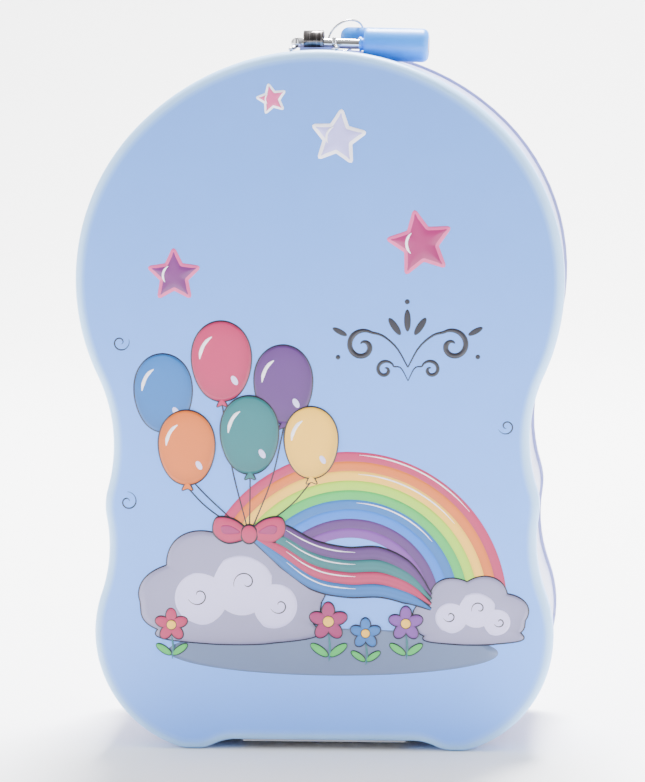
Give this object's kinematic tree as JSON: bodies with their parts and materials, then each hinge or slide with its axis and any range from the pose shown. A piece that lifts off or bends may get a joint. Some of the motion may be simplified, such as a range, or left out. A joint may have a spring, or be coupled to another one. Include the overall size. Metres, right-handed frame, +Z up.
{
  "type": "tin money box",
  "caption": "Slim upright tinplate savings box with a curved outline, a bottom-hinged front cover, a coin slot on top and a small barrel padlock through its hasp.",
  "frame": {"origin": "centre of the footprint, on the plane the feet stand on", "axes": "+X to the box's left as it faces the viewer's right, +Y from the front cover to the back panel, +Z up"},
  "size_m": [0.1154, 0.05, 0.1732],
  "materials": {
    "blue_tin": "printed and varnished sky-blue tinplate",
    "lavender_tin": "varnished pale lavender tinplate",
    "bare_steel": "bare rolled steel",
    "bright_wire": "bright plated steel",
    "chromed_rod": "polished plate",
    "blue_plastic": "smooth moulded plastic",
    "brass": "turned brass"
  },
  "bodies": {
    "box": {"side_band": "lavender_tin", "back_panel": "lavender_tin", "hinge_leaf_body": "bare_steel", "hinge_pin": "bright_wire", "hasp_base": "lavender_tin", "hasp_tongue": "bare_steel", "strap_rivets": "bright_wire"},
    "cover": {"front_cover": "blue_tin", "hinge_leaf_cover": "bare_steel", "hook_left": "bright_wire", "hook_right": "bright_wire"},
    "shackle": {"shackle": "chromed_rod"},
    "lock": {"lock_sheath": "blue_plastic", "lock_core": "brass", "leg_bush": "blue_plastic", "shackle_spring": "bright_wire"},
    "plug": {"key_plug": "brass", "plug_clip": "bright_wire", "latch_cam": "bright_wire"},
    "ring": {"key_ring": "bright_wire"}
  },
  "joints": [
    {"name": "cover_hinge", "type": "hinge", "parent": "box", "child": "cover", "pos_m": [0, -0.016, 0.0015], "axis": [1, 0, 0], "range_deg": [0, 95]},
    {"name": "padlock_swing", "type": "hinge", "parent": "box", "child": "shackle", "pos_m": [-0.001, -0.0155, 0.16777], "axis": [0.9994, 0, -0.0349], "range_deg": [0, 90]},
    {"name": "shackle_slide", "type": "slide", "parent": "shackle", "child": "lock", "axis": [0.9994, 0, -0.0349], "range_m": [0, 0.005]},
    {"name": "key_turn", "type": "hinge", "parent": "lock", "child": "plug", "pos_m": [0.02129, -0.0132, 0.16699], "axis": [0.9994, 0, -0.0349], "range_deg": [0, 90]},
    {"name": "ring_swing", "type": "hinge", "parent": "shackle", "child": "ring", "pos_m": [0.0067, -0.0109, 0.1675], "axis": [0.9994, 0, -0.0349], "range_deg": [-4, 3]}
  ]
}
